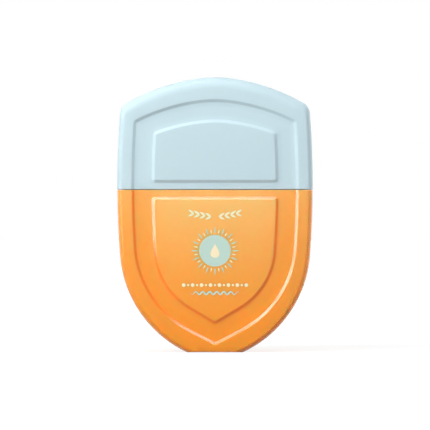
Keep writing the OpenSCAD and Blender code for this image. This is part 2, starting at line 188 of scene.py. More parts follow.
class BottleShape(PropertyGroup):
    """Outline, edges and relief of the shield."""

    width: length("Width", (cap_high.x - cap_low.x) / MM, "Width across the widest level")
    height: length("Height", cap_high.z / MM, "Height from the foot to the apex")
    depth: length("Depth", (cap_high.y - cap_low.y) / MM, "Depth from the front face to the back face")
    body_top: length("Body top", collar_low.z / MM, "Height of the body's shoulder under the seam")
    cap_bottom: length("Cap bottom", cap_low.z / MM, "Height of the cap's lower edge over the seam")
    seam_round: length("Seam rounding", 0.12, "Radius of the edges on both sides of the seam")
    wall: length("Body wall", 1.2, "Wall of the blow-moulded body")
    cap_wall: length("Cap wall", 1.4, "Wall of the cap behind the recessed band")
    cap_side_wall: length("Cap side wall", 1.7, "Wall of the cap at its sides and arch")
    hollow_round: length("Hollow rounding", 1.6, "Corner radius of the cap's hollow")
    foot_width: length("Foot width", 19.4, "Width of the foot, measured between the flanks")
    foot_round: length("Foot rounding", 0.7, "Corner radius at each end of the foot")
    foot_hollow: length("Foot hollow", 0.6, "Depth of the hollow under the foot")
    foot_rim: length("Foot rim", 3.0, "Width of the rim round the hollow under the foot")
    foot_slope: length("Foot slope", 1.2, "Width of the slope round the hollow under the foot")
    widest_level: length("Widest level", 54, "Height of the widest level")
    side_radius: length("Side radius", 310, "Radius of the slight bow of the sides")
    flank_level: length("Flank level", 31.7, "Height at which the flanks run into the sides")
    arch_radius: length("Arch radius", 65.5, "Radius of each arc of the top arch")
    arch_offset: length("Arch offset", 3.55, "How far each arch centre lies past the middle")
    apex_radius: length("Apex radius", 40, "Radius that blunts the apex")
    shoulder_radius: length("Shoulder radius", 4.4, "Corner radius of the shoulders")
    edge_depth: length("Edge depth", 2.8, "Reach of the edge rounding along Y")
    edge_side: length("Edge side", 1.7, "Reach of the edge rounding in from the sides")
    edge_top: length("Edge top", 3.6, "Reach of the edge rounding down from the arch")
    edge_foot: length("Edge foot", 0.45, "Reach of the edge rounding up from the foot")
    side_crown: length("Side crown", 0.25, "Swell of the side wall at mid depth")
    parting_line: length("Parting line", 0.05, "Height of the mould's parting line on the body")
    relief: length("Relief", 0.65, "Depth of the recessed band")
    step_slope: angle("Step slope", 29, "Slope of each step")
    step_round: length("Step rounding", 0.2, "Radius at the raised edge of each step")
    step_root: length("Step root", 0.1, "Radius at the foot of each step")
    run_out: length("Run-out", 1.6, "Width of the soft run-out at the foot of each step")
    run_out_slope: angle("Run-out slope", 8, "Slope at which each step meets its run-out")
    border_side: length("Border side", 5.3, "Width of the raised border at the sides")
    border_top: length("Border top", 7.85, "Height of the raised border at the apex")
    border_tip: length("Border tip", 2.8, "Height of the border's pointed tip")
    border_slope: angle("Border slope", 27.5, "Slope of the border's edges at its tip")
    border_flank_level: length("Border flank level", 34.1, "Height where the border's flanks end")
    band_side: length("Band side", 6.6, "Width of the recessed band at the sides")
    band_top: length("Band top", 6.7, "Height of the recessed band under the arch")
    panel_tip: length("Panel tip", 9.7, "Height of the panel's pointed tip")
    panel_slope: angle("Panel slope", 31, "Slope of the panel's edges at its tip")
    panel_flank_level: length("Panel flank level", 32.8, "Height where the panel's flanks end")
    panel_gap: length("Panel gap", 2.75, "Distance from the seam to the edge of each panel")
    corner_radius: length("Corner radius", 1.0, "Corner radius of the border and the panels")
    tip_radius: length("Tip radius", 1.2, "Radius that blunts the tips of the border and the panel")


class NeckShape(PropertyGroup):
    """Neck, nozzle, collar and inner cap, which show when the cap is off."""

    neck_radius: length("Neck radius", plug_high.x / MM, "Outer radius of the neck")
    neck_wall: length("Neck wall", 1.6, "Wall of the neck")
    neck_root: length("Neck root", 0.35, "Radius of the fillet at the root of the neck")
    neck_height: length("Neck height", 10, "Height of the neck above the shoulder")
    bead_reach: length("Bead reach", 0.5, "How far the snap bead stands out of the neck")
    bead_height: length("Bead height", 1.2, "Height of the snap bead")
    bead_level: length("Bead level", 1.5, "Height of the bead above the shoulder")
    flange: length("Flange", 1.0, "Thickness of the nozzle's flange")
    flange_ledge: length("Flange ledge", 2.0, "Width of the flange's ledge round the nozzle")
    tip_radius: length("Nozzle tip radius", 2.0, "Radius of the nozzle's tip")
    orifice_radius: length("Orifice radius", 0.8, "Radius of the orifice")
    orifice_land: length("Orifice land", 2.0, "Length of the orifice's straight land")
    plug_wall: length("Plug wall", 1.1, "Wall of the plug inside the neck")
    plug_clearance: length("Plug clearance", 0.1, "Gap between the neck and the plain part of the plug")
    ring_bite: length("Ring bite", 0.08, "How far the sealing rings bite into the neck")
    ring_height: length("Ring height", 0.8, "Height of each sealing ring")
    collar_plate: length("Collar plate", 1.4, "Thickness of the collar's plate")
    collar_wall: length("Collar wall", 1.2, "Wall of the collar's skirt")
    collar_corner: length("Collar corner", 3.0, "Corner radius of the collar's skirt")
    collar_hole: length("Collar hole", 0.1, "Gap between the neck and the hole in the collar")
    rib_height: length("Rib height", 1.0, "Height of the ribs on the collar's plate")
    rib_thickness: length("Rib thickness", 0.9, "Thickness of the ribs on the collar's plate")
    bump_reach: length("Bump reach", 0.2, "How far the snap bumps stand out of the skirt")
    bump_length: length("Bump length", 12, "Length of each snap bump")
    bump_height: length("Bump height", 0.9, "Height of each snap bump")
    insert_plate: length("Inner cap plate", 1.2, "Thickness of the inner cap's plate")
    socket_clearance: length("Socket clearance", 0.4, "Gap between the snap bead and the socket")
    socket_wall: length("Socket wall", 0.9, "Wall of the inner cap's socket")
    socket_space: length("Socket space", 1.0, "Gap between the nozzle's tip and the socket's roof")
    pin_length: length("Pin length", 1.6, "Length of the seal pin in the orifice")
    pin_clearance: length("Pin clearance", 0.08, "Gap between the seal pin and the orifice")
    seal_clearance: length("Seal clearance", 0.15, "Gap between the seal boss and the nozzle's tip")
    gusset_length: length("Gusset length", 9, "Length of the gussets beside the socket")
    gusset_height: length("Gusset height", 2.4, "Height of the gussets beside the socket")
    gusset_thickness: length("Gusset thickness", 0.9, "Thickness of the gussets")
    catch_reach: length("Catch reach", 0.35, "How far the catches stand out of the cap's wall")
    catch_length: length("Catch length", 14, "Length of each catch")
    catch_height: length("Catch height", 0.8, "Height of each catch")
    soft_edge: length("Soft edge", 0.15, "Rounding of the moulded edges of the inner parts")


class InkShape(PropertyGroup):
    """Printed ornament on the body's panel."""

    film: length("Film", 0.02, "Thickness of the ink")
    sun_level: length("Sun level", 33.2, "Height of the middle of the sun")
    disc_radius: length("Disc radius", 5.15, "Radius of the sun's disc")
    ray_gap: length("Ray gap", 0.55, "Gap between the disc and the rays")
    long_reach: length("Long reach", 8.0, "Radius that the long rays reach")
    short_reach: length("Short reach", 7.1, "Radius that the short rays reach")
    ray_width: length("Ray width", 0.4, "Width of the rays where they are fullest")
    rays: IntProperty(name="Rays", description="Number of long rays", default=16, min=6, max=24)
    drop_height: length("Drop height", 4.6, "Height of the drop on the disc")
    drop_width: length("Drop width", 2.9, "Width of the drop on the disc")
    sprig_level: length("Sprig level", 44.3, "Height of the middle of the sprig over the sun")
    leaf_start: length("Leaf start", 1.25, "Distance of the first leaves from the middle")
    leaf_pitch: length("Leaf pitch", 1.85, "Distance from one pair of leaves to the next")
    leaf_climb: length("Leaf climb", 0.35, "How much higher each pair of leaves lies than the last")
    leaf_run: length("Leaf run", 2.0, "Length of a leaf along the sprig")
    leaf_lift: length("Leaf lift", 1.3, "Height of the upper leaves")
    leaf_drop: length("Leaf drop", 0.95, "Depth of the lower leaves")
    leaf_width: length("Leaf width", 0.75, "Width of a leaf")
    leaves: IntProperty(name="Leaves", description="Pairs of leaves on each side", default=4, min=1, max=6)
    bead_level: length("Bead row level", 22.0, "Height of the row of beads under the sun")
    bead_width: length("Bead row width", 20.4, "Width of the row of beads")
    large_bead: length("Large bead", 0.6, "Radius of the large beads")
    small_bead: length("Small bead", 0.36, "Radius of the small beads")
    beads: IntProperty(name="Beads", description="Number of beads", default=15, min=3, max=31)
    wave_level: length("Wave level", 19.4, "Height of the wave under the beads")
    wave_width: length("Wave width", 16.0, "Width of the wave")
    wave_height: length("Wave height", 0.45, "How far the wave swings up and down")
    wave_line: length("Wave line", 0.5, "Width of the wave's line")
    waves: IntProperty(name="Waves", description="Number of full waves", default=7, min=1, max=12)


class BottleColours(PropertyGroup):
    """Colours of the plastics and the inks, and of the light and shade painted on the body."""

    # Painted light: the body turns towards this paler orange up towards the shoulder
    orange_top_painted_light: colour("Orange at the shoulder", "#FFC973", "Colour of the body next to the seam")
    orange_foot: colour("Orange at the foot", "#FF9702", "Colour of the body at its foot")
    # Painted shade on the sloping steps of the relief
    orange_step_painted_shade: colour("Orange on the steps", "#FF8400", "Colour of the body on its sloping steps")
    # Painted shade: the band, the sides and the left and right of each face deepen towards this orange
    orange_painted_shade: colour("Orange in the recess", "#FF9208", "Colour of the band, the sides and the rims")
    # Painted shade in the recessed band and at the sides
    recess_painted_shade: share("Recess tint", 0.35, "How far the band and the sides go towards that orange")
    # Painted shade towards the left and right of each face
    rim_painted_shade: share("Rim tint", 0.5, "How far the left and right of a face go towards it")
    blue: colour("Pale blue", "#C8DFE7", "Colour of the cap")
    white: colour("Natural white", "#DEDED9", "Colour of the collar and the inner cap")
    plug: colour("Plug white", "#DFDDD6", "Colour of the nozzle plug")
    ink_cream: colour("Cream ink", "#FFF0C8", "Colour of the cream print")
    ink_blue: colour("Blue ink", "#C2DDD2", "Colour of the pale blue print")


class StageSettings(PropertyGroup):
    """Camera, lights and floor."""

    camera_level: length("Camera level", 44.84, "Height of the camera, which looks level along +Y")
    camera_distance: length("Camera distance", 1400, "Distance of the camera from the bottle")
    view_width: length("View width", 141.26, "Width of the view at the bottle")
    floor_radius: length("Floor radius", 6000, "Radius of the floor")
    floor_colour: colour("Floor", "#969696", "Colour of the floor as the bottle sees it")
    floor_glow: share("Floor glow", 0.78, "White that the camera sees on the floor near the bottle")
    glow_start: length("Glow start", 100, "Distance at which the floor starts to turn pure white")
    glow_end: length("Glow end", 400, "Distance from which the floor is pure white")
    ambient: share("Ambient light", 0.19, "Strength of the even light from all round", 4)
    key: share("Key light", 0.33, "Power of the large soft lamp up on the left", 100)
    key_distance: length("Key distance", 600, "Distance of the key lamp from the bottle")
    key_bearing: angle("Key bearing", 140, "Direction of the key lamp, from the right upwards")
    key_slant: angle("Key slant", 40, "Angle of the key lamp to the camera's line")
    key_size: length("Key size", 300, "Diameter of the key lamp")
    grazing: share("Grazing light", 6.3, "Power of the strips in an arc up on the left, in front", 100)
    back_right: share("Right back light", 4.0, "Power of the lamp behind the bottle on the right", 100)
    back_left: share("Left back light", 0.4, "Power of the lamp behind the bottle on the left", 100)
    rear: share("Rear light", 4.6, "Power of the low lamp straight behind the bottle", 100)
    arc_radius: length("Arc radius", 600, "Radius of the arc of strips, seen from the front")
    arc_ahead: length("Arc ahead", 390, "How far in front of the bottle the arc of strips stands")
    strip_length: length("Strip length", 260, "Length of each strip along the arc")
    strip_width: length("Strip width", 90, "Width of each strip across the arc")


# Radii and centres of an outline's stretches, the level of its foot if it has one, and the slope at its tip
Outline = namedtuple(
    "Outline", "side_r flank_at flank_r join arch_at arch_r apex_r corner_r tip_r foot slope"
)
# Half depth of a skin, the reaches of its edge rounding, how far it lies inside the outline and over the
# foot, the rounding's reach up from the foot, and the heights of the side's swell and the parting line
Shell = namedtuple("Shell", "half_depth round_y round_side round_top by foot rise crown ridge")


def bearing(v):
    """Angle of a vector from +X, in radians."""
    return math.atan2(v[1], v[0])


def smooth(t):
    """A soft step from 0 to 1."""
    t = np.clip(t, 0, 1)
    return t * t * (3 - 2 * t)


def arc(centre, radius, start, end, steps):
    """Points along an arc, both ends included."""
    angles = np.linspace(start, end, steps + 1)
    return np.column_stack((centre[0] + radius * np.cos(angles), centre[1] + radius * np.sin(angles)))


def line(a, b, steps):
    """Points along a straight stretch, both ends included."""
    return np.linspace(a, b, steps + 1)


def joined(*stretches):
    """Stretches end to end, without the points that they share."""
    return np.vstack([stretches[0]] + [s[1:] for s in stretches[1:]])


def side_centre(s):
    """Centre of the bow of the right side."""
    return np.array((s.width / 2 - s.side_radius, s.widest_level))


def outline(s, inset_by, join_level, foot_point, apex, corner, slope=None):
    """The shield whose flank runs from foot_point, or from a straight edge, into its side at join_level."""
    side_r = s.side_radius - inset_by
    join = math.asin((join_level - s.widest_level) / side_r)
    towards = np.array((math.cos(join), math.sin(join)))
    meets = side_centre(s) + side_r * towards
    chord = meets - np.array(foot_point)
    if slope is None:
        flank_r = chord @ chord / (2 * chord @ towards)
    else:
        normal = np.array((-math.sin(slope), math.cos(slope)))
        flank_r = chord @ normal / (1 + towards @ normal)
    rise = s.apex_radius + math.sqrt((s.arch_radius - s.apex_radius) ** 2 - s.arch_offset**2)
    flank_at = meets - flank_r * towards
    arch_at = np.array((-s.arch_offset, apex - rise))
    radii = (s.arch_radius, s.apex_radius, corner, s.tip_radius)
    return Outline(side_r, flank_at, flank_r, join, arch_at, *radii, None, slope)


def inset(o, by, arch_by=0.0, foot=None, least=0.25 * MM):
    """The outline moved in all round, and by a further arch_by at the arch, standing on foot."""
    radii = {name: getattr(o, name) - by for name in ("side_r", "flank_r", "arch_r", "apex_r")}
    corners = {name: max(getattr(o, name) - by, least) for name in ("corner_r", "tip_r")}
    return o._replace(arch_at=o.arch_at - np.array((0, arch_by)), foot=foot, **radii, **corners)


def body_outline(s):
    """Outline of the whole shield."""
    return outline(s, 0, s.flank_level, (s.foot_width / 2, 0), s.height, s.shoulder_radius)


def border_outline(s):
    """Outline along the inner edge of the raised border."""
    apex = s.height - s.border_top
    return outline(
        s, s.border_side, s.border_flank_level, (0, s.border_tip), apex, s.corner_radius, s.border_slope
    )


def panel_outline(s):
    """Outline of both panels together."""
    by, apex = s.border_side + s.band_side, s.height - s.border_top - s.band_top
    return outline(s, by, s.panel_flank_level, (0, s.panel_tip), apex, s.corner_radius, s.panel_slope)


def side_arc(s, o, start, end, steps):
    """A stretch of the right side between two levels."""
    angles = [math.asin((level - s.widest_level) / o.side_r) for level in (start, end)]
    return arc(side_centre(s), o.side_r, *angles, steps)


def lower_half(s, o):
    """Right half of the foot or the tip, and of the flank up to the side."""
    if o.foot is None:
        turn = o.slope - math.pi / 2
        flank = arc(o.flank_at, o.flank_r, turn, o.join, FLANK_STEPS)
        tip = flank[0][1] - flank[0][0] * math.tan(o.slope)
        blunt = arc((0, tip + o.tip_r / math.cos(o.slope)), o.tip_r, -math.pi / 2, turn, TIP_STEPS)
        return joined(blunt, line(blunt[-1], flank[0], FOOT_STEPS), flank)
    reach = o.flank_r - s.foot_round
    level = o.foot + s.foot_round
    corner = np.array((o.flank_at[0] + math.sqrt(reach**2 - (level - o.flank_at[1]) ** 2), level))
    turn = bearing(corner - o.flank_at)
    return joined(
        line((0, o.foot), (corner[0], o.foot), FOOT_STEPS),
        arc(corner, s.foot_round, -math.pi / 2, turn, TIP_STEPS),
        arc(o.flank_at, o.flank_r, turn, o.join, FLANK_STEPS),
    )


def upper_half(s, o, level):
    """Right half of the side from that level, the shoulder and the arch."""
    side_at = side_centre(s)
    apart = o.arch_at - side_at
    gap = np.linalg.norm(apart)
    u = apart / gap
    p, q = o.side_r - o.corner_r, o.arch_r - o.corner_r
    t = (gap**2 + p**2 - q**2) / (2 * gap)
    corner = side_at + t * u + math.sqrt(p**2 - t**2) * np.array((-u[1], u[0]))
    apex = np.array((0, o.arch_at[1] + math.sqrt((o.arch_r - o.apex_r) ** 2 - s.arch_offset**2)))
    a1, a2, a3 = bearing(corner - side_at), bearing(corner - o.arch_at), bearing(apex - o.arch_at)
    start = math.asin((level - s.widest_level) / o.side_r)
    return joined(
        arc(side_at, o.side_r, start, a1, SIDE_STEPS),
        arc(corner, o.corner_r, a1, a2, SHOULDER_STEPS),
        arc(o.arch_at, o.arch_r, a2, a3, ARCH_STEPS),
        arc(apex, o.apex_r, a3, math.pi / 2, APEX_STEPS),
    )


class ShieldHalf:
    """Right halves of the outlines of one of the two skins, which end at the cut."""

    def __init__(self, s, up, cut):
        self.s, self.up, self.cut = s, up, cut
        self.panel_edge = (s.body_top + s.cap_bottom) / 2 - up * s.panel_gap
        self.turn = self.panel_edge - up * s.corner_radius

    def far_end(self, o, level):
        """The half from the middle of the far end to the side at that level."""
        s = self.s
        if self.up > 0:
            below = lower_half(s, o)
            start = side_centre(s)[1] + o.side_r * math.sin(o.join)
            return joined(below, side_arc(s, o, start, level, SIDE_STEPS))
        return upper_half(s, o, level)[::-1]

    def open(self, o):
        """The half up to the cut."""
        return joined(self.far_end(o, self.turn), side_arc(self.s, o, self.turn, self.cut, CORNER_STEPS))

    def rim(self, o):
        """The half closed by the straight edge along the cut."""
        half = self.open(o)
        return joined(half, line(half[-1], (0, self.cut), PANEL_EDGE_STEPS))

    def panel(self, by):
        """The panel's half, closed by its own straight edge with a rounded corner."""
        s = self.s
        o = inset(panel_outline(s), by)
        edge = self.panel_edge - self.up * by
        level = edge - self.up * o.corner_r
        corner = side_arc(s, o._replace(side_r=o.side_r - o.corner_r), level, level, 1)[0]
        turn = arc(corner, o.corner_r, 0, self.up * math.pi / 2, CORNER_STEPS)
        return joined(self.far_end(o, level), turn, line(turn[-1], (0, edge), PANEL_EDGE_STEPS))


def at(points, y):
    """Points of an outline, placed at depth y."""
    return np.column_stack((points[:, 0], np.full(len(points), y), points[:, 1]))


def sheet(rows, closed=False):
    """Quads between rows of points."""
    count = len(rows[0])
    faces = []
    for k in range(len(rows) - 1):
        a, b = k * count, (k + 1) * count
        for i in range(count if closed else count - 1):
            j = (i + 1) % count
            faces.append((a + i, a + j, b + j, b + i))
    return np.vstack(rows), faces


def flat(row):
    """One flat face on a closed row of points."""
    return row, [tuple(range(len(row)))]


def mirrored(patches, *axes):
    """The patches with their mirror images across the planes through the origin."""
    for axis in axes:
        flip = np.ones(3)
        flip[axis] = -1
        images = [(points * flip, [f[::-1] for f in faces], *mark) for points, faces, *mark in patches]
        patches = patches + images
    return patches


def turned(profile):
    """A surface of revolution about Z through points given as radius and level."""
    angles = np.arange(ROUND_STEPS) * 2 * math.pi / ROUND_STEPS
    ring = np.column_stack((np.cos(angles), np.sin(angles), np.ones(ROUND_STEPS)))
    return sheet([ring * (r, r, z) for r, z in profile], closed=True)


def prism(ends):
    """A closed prism between two rows of points."""
    return [sheet(ends, closed=True), flat(ends[0][::-1]), flat(ends[1])]


def bar(x, y, level, reach, section):
    """A closed bar along X whose section is given as points of depth and level."""
    ends = (x - reach / 2, x + reach / 2)
    return prism([np.array([(end, y + d, level + z) for d, z in section]) for end in ends])


def slab_rows(half_x, half_y, corner, least, *places):
    """Closed rounded rectangles round the Z axis, each given as a distance in from the edge and a level."""
    rows = []
    for by, level in places:
        radius = max(corner - by, least)
        x, y = half_x - by - radius, half_y - by - radius
        turns = np.arange(5) * math.pi / 2
        centres = ((x, y), (-x, y), (-x, -y), (x, -y))
        arcs = [arc(c, radius, a, b, SLAB_STEPS) for c, a, b in zip(centres, turns, turns[1:])]
        points = np.vstack(arcs)
        rows.append(np.column_stack((points, np.full(len(points), level))))
    return rows


def build(name, patches, flats=()):
    """A mesh object from patches, welded, with its openings at the given levels filled flat."""
    bm = bmesh.new()
    # Marks the relief's vertices, on which the body's material paints shade on the steps
    layer = bm.verts.layers.float.new("relief")
    for points, faces, *mark in patches:
        corners = [bm.verts.new(p) for p in points]
        for corner in corners if mark else ():
            corner[layer] = 1.0
        for face in faces:
            bm.faces.new([corners[i] for i in face])
    bmesh.ops.remove_doubles(bm, verts=bm.verts, dist=WELD)
    for level in flats:
        rim = [e for e in bm.edges if e.is_boundary and all(abs(v.co.z - level) < WELD for v in e.verts)]
        if not rim:
            raise RuntimeError(f"{name}: no opening to fill at {level}")
        bmesh.ops.triangle_fill(bm, edges=rim, use_beauty=True, normal=(0, 0, 1))
    open_edges = [e for e in bm.edges if not e.is_manifold]
    if open_edges:
        raise RuntimeError(f"{name}: {len(open_edges)} open edges, one at {open_edges[0].verts[0].co}")
    bmesh.ops.recalc_face_normals(bm, faces=bm.faces)
    mesh = bpy.data.meshes.new(name)
    bm.to_mesh(mesh)
    bm.free()
    mesh.shade_smooth()
    mesh.set_sharp_from_angle(angle=CREASE)
    piece = bpy.data.objects.new(name, mesh)
    bpy.context.scene.collection.objects.link(piece)
    return piece


def outer_shell(s, ridge):
    """Rounding of the outside of the body or the cap."""
    return Shell(s.depth / 2, s.edge_depth, s.edge_side, s.edge_top, 0, 0, s.edge_foot, s.side_crown, ridge)


def inner_shell(s):
    """Rounding of the inside of the body, one wall in from its outside."""
    w = s.wall
    edges = [reach - w for reach in (s.edge_depth, s.edge_side, s.edge_top)]
    return Shell(s.depth / 2 - w, *edges, w, w + s.foot_hollow, 0, s.side_crown, 0)


def cap_hollow_shell(s):
    """Rounding of the cap's hollow."""
    r = s.hollow_round
    return Shell(s.depth / 2 - s.relief - s.cap_wall, r, r, r, s.cap_side_wall, 0, 0, s.side_crown, 0)


def side_rows(s, half, shell):
    """Rows from the middle of the side, over its swell and round the edge, to the flat face."""
    o = body_outline(s)
    plain = shell.half_depth - shell.round_y

    def row(by, y, arch_by=0, rise=0):
        return at(half.open(inset(o, shell.by + by, arch_by, shell.foot + rise)), y)

    rows = [row(0, 0)]
    if shell.ridge:
        rows += [row(0, -PARTING_REACH / 2), row(shell.ridge, -PARTING_REACH)]
    for t in np.arange(1, SWELL_STEPS + 1) / SWELL_STEPS:
        rows.append(row(shell.ridge + (shell.crown - shell.ridge) * t**2, -plain * t))
    for a in np.arange(1, EDGE_STEPS + 1) / EDGE_STEPS * math.pi / 2:
        part = 1 - math.cos(a)
        by, arch_by = shell.crown + shell.round_side * part, (shell.round_top - shell.round_side) * part
        y = shell.round_y * (1 - math.sin(a)) - shell.half_depth
        rows.append(row(by, y, arch_by, shell.rise * part))
    return rows


def step_profile(s):
    """A step from the raised face down to the floor, as points of distance from its middle and depth."""
    steep, faint = s.step_slope, s.run_out_slope
    edge = arc((0, s.step_round), s.step_round, -math.pi / 2, steep - math.pi / 2, RELIEF_STEPS)
    root = arc((0, -s.step_root), s.step_root, steep + math.pi / 2, faint + math.pi / 2, RELIEF_STEPS)
    far = s.run_out / math.sin(faint)
    out = arc((0, -far), far, faint + math.pi / 2, math.pi / 2, RELIEF_STEPS)
    drop = s.relief - edge[-1][1] - (root[-1] - root[0])[1] - (out[-1] - out[0])[1]
    straight = np.array((drop / math.tan(steep), drop))
    root += edge[-1] + straight - root[0]
    out += root[-1] - out[0]
    held = [edge[-1] + straight * t for t in (STRAIGHT_HELD, 1 - STRAIGHT_HELD)]
    points = joined(edge, np.vstack((edge[-1], held, root[0])), root, out)
    return points - (root[-1][0] / 2, 0)


def relief_patches(s, half, last_row, wall=0.0):
    """The border's face, the step down, the band's floor, the step up and the panel's face."""
    face = wall - s.depth / 2
    floor = face + s.relief
    shift = wall * MITRE
    border = border_outline(s)
    slope = [(by, face + sunk) for by, sunk in step_profile(s)]
    raised, sunk = SUPPORT - slope[0][0], SUPPORT + slope[-1][0]

    def border_row(by, y):
        return at(half.open(inset(border, by - shift)), y)

    def panel_row(by, y):
        return at(half.panel(by + shift), y)

    down = [last_row, border_row(-raised, face)]
    down += [border_row(by, y) for by, y in slope]
    rim = at(half.rim(inset(border, sunk - shift)), floor)
    down.append(rim[: len(last_row)])
    up = [rim, panel_row(-sunk, floor)]
    up += [panel_row(-by, y) for by, y in reversed(slope)]
    up.append(panel_row(raised, face))
    return down, [(*sheet(down), "relief"), (*sheet(up), "relief"), flat(up[-1])], rim


def seam_patch(half, side, down, rim, radius):
    """The rounded edge between a skin and the flat face at the seam."""
    plan = np.array([row[-1] for row in side + down[1:]] + list(rim[len(side[0]) :]))
    before, after = np.roll(plan, 1, axis=0), np.roll(plan, -1, axis=0)
    before[0], after[-1] = plan[1] * (1, -1, 1), plan[-2] * (-1, 1, 1)
    along = after - before
    inward = np.column_stack((along[:, 1], -along[:, 0], np.zeros(len(plan))))
    inward /= np.linalg.norm(inward, axis=1)[:, None]
    inward[len(side) :] = (0, 1, 0)
    rows = []
    for a in np.arange(SEAM_STEPS + 1) / SEAM_STEPS * math.pi / 2:
        rise = np.array((0, 0, half.up * radius * math.sin(a)))
        rows.append(plan + inward * radius * (1 - math.cos(a)) + rise)
    return sheet(rows)


def skin(s, up, seam, shell, radius, wall=0.0):
    """A quarter of the body's or the cap's skin, up to the flat face at the seam."""
    half = ShieldHalf(s, up, seam - up * radius)
    side = side_rows(s, half, shell)
    down, patches, rim = relief_patches(s, half, side[-1], wall)
    patches = [sheet(side)] + patches
    if radius:
        patches.append(seam_patch(half, side, down, rim, radius))
    return patches


def hollow_foot(s, patches):
    """Presses the shallow hollow into the underside of the foot."""
    half_x = s.foot_width / 2 - s.foot_rim
    half_y = s.depth / 2 - s.edge_depth - s.foot_rim
    for points, *_ in patches:
        x, y, z = np.abs(points).T
        press = smooth((half_x + s.foot_slope / 2 - x) / s.foot_slope)
        press *= smooth((half_y + s.foot_slope / 2 - y) / s.foot_slope)
        points[:, 2] += np.where(z < WELD, press * s.foot_hollow, 0)


def neck_profile(s, n):
    """The neck from its root up over the bead and the lip, and down its bore."""
    top = s.body_top + n.neck_height
    r, bore = n.neck_radius, n.neck_radius - n.neck_wall
    lip = n.neck_wall * CORNER_SHARE
    root_at = (r + n.neck_root, s.body_top + n.neck_root)
    root = arc(root_at, n.neck_root, -math.pi / 2, -math.pi, FILLET_STEPS)
    ramp = np.arange(BEAD_STEPS + 1) / BEAD_STEPS
    foot = s.body_top + n.bead_level
    bead = [(r + n.bead_reach * math.sin(math.pi * t), foot + n.bead_height * t) for t in ramp]
    rim = arc((r - lip, top - lip), lip, 0, math.pi / 2, LIP_STEPS)
    mouth = arc((bore + lip / 2, top - lip / 2), lip / 2, math.pi / 2, math.pi, BORE_LIP_STEPS)
    return [*root, *bead, *rim, *mouth, (bore, s.body_top - s.wall)]


def body_piece(s, n):
    """The blow-moulded body with its neck, its inside and the hollow under its foot."""
    outside = skin(s, 1, s.body_top, outer_shell(s, s.parting_line), s.seam_round)
    hollow_foot(s, outside)
    inside = skin(s, 1, s.body_top - s.wall, inner_shell(s), 0.0, s.wall)
    patches = mirrored(outside + inside, 0, 1) + [turned(neck_profile(s, n))]
    return build("blown_body", patches, (s.body_top, s.body_top - s.wall))


def cap_piece(s, n):
    """The cap: its skin, its hollow and the catches that hold the inner cap."""
    outside = skin(s, -1, s.cap_bottom, outer_shell(s, 0.0), s.seam_round)
    hollow = cap_hollow_shell(s)
    half = ShieldHalf(s, -1, s.cap_bottom)
    rows = side_rows(s, half, hollow)
    edge = line(rows[-1][-1], (0, rows[-1][0][1], s.cap_bottom), PANEL_EDGE_STEPS)
    face = flat(np.vstack((rows[-1], edge[1:])))
    reach, height = n.catch_reach, n.catch_height
    section = [(reach, -height), (0, -height), (-reach, -height * CORNER_SHARE), (-reach, 0), (reach, 0)]
    inner_x = s.width / 2 - s.cap_side_wall - s.side_crown
    catch = bar(inner_x * CATCH_SHARE, hollow.half_depth, inner_low.z, n.catch_length, section)
    return build("moulded_cap", mirrored(outside + [sheet(rows), face] + catch, 0, 1), (s.cap_bottom,))


def nozzle_profile(s, n):
    """The nozzle plug: its skirt with two sealing rings, flange, cone, orifice and bore."""
    bore = n.neck_radius - n.neck_wall
    r, inner = bore - n.plug_clearance, bore - n.plug_clearance - n.plug_wall
    neck_top, foot, top = s.body_top + n.neck_height, plug_low.z, plug_high.z
    flange_top = neck_top + n.flange
    chamfer, edge = n.plug_wall * CORNER_SHARE, n.flange * CORNER_SHARE
    points = [(inner, foot), (r - chamfer, foot), (r, foot + chamfer)]
    for part in RING_SHARES:
        level = foot + (neck_top - foot) * part
        for t in np.arange(RING_STEPS + 1) / RING_STEPS:
            reach = (n.plug_clearance + n.ring_bite) * math.sin(math.pi * t)
            points.append((r + reach, level + n.ring_height * (t - 0.5)))
    base = n.neck_radius - n.flange_ledge
    points += [(r, neck_top), (n.neck_radius, neck_top)]
    points += [*arc((n.neck_radius - edge, flange_top - edge), edge, 0, math.pi / 2, LIP_STEPS)]
    points += [*arc((base + edge, flange_top + edge), edge, -math.pi / 2, -math.pi, LIP_STEPS)]
    points += [(n.tip_radius + edge * CONE_WIDER, top - edge * CONE_BELOW)]
    points += [*arc((n.tip_radius - edge, top - edge), edge, 0, math.pi / 2, LIP_STEPS)]
    mouth_at = (n.orifice_radius + edge / 2, top - edge / 2)
    points += [*arc(mouth_at, edge / 2, math.pi / 2, math.pi, BORE_LIP_STEPS)]
    points += [(n.orifice_radius, top - n.orifice_land), (inner, neck_top), (inner, foot)]
    return points


def plug_piece(s, n):
    """The nozzle plug."""
    return build("nozzle", [turned(nozzle_profile(s, n))])


def collar_piece(n):
    """The snap collar: plate, skirt, ribs and snap bumps."""
    base, plate, top = collar_low.z, collar_low.z + n.collar_plate, collar_high.z
    half_x, half_y = collar_high.x, collar_high.y - n.bump_reach
    wall, edge = n.collar_wall, n.soft_edge * 2
    outer = ((edge, base), (0, base + edge), (0, top - edge), (edge, top))
    inner = ((wall - edge, top), (wall, top - edge), (wall, plate + edge), (wall + edge, plate))
    rows = slab_rows(half_x, half_y, n.collar_corner, edge, *outer, *inner)
    hole = n.neck_radius + n.collar_hole
    patches = [sheet(rows, closed=True), turned([(hole, base), (hole, plate)])]
    bump = n.bump_height / 2
    section = [(-wall / 2, -bump), (0, -bump)]
    ramp = np.arange(1, BUMP_STEPS) / BUMP_STEPS
    section += [(n.bump_reach * math.sin(math.pi * t), bump * (2 * t - 1)) for t in ramp]
    section += [(0, bump), (-wall / 2, bump)]
    patches += mirrored(bar(half_x / 2, half_y, (plate + top) / 2, n.bump_length, section), 0, 1)
    end, sunk = half_y - wall / 2, n.collar_plate / 2
    section = [(-end, -sunk), (end, -sunk), (end, n.rib_height), (-end, n.rib_height)]
    for part in RIB_SHARES:
        patches += mirrored(bar((half_x - wall) * part, 0, plate, n.rib_thickness, section), 0)
    return build("collar", patches, (base, plate))


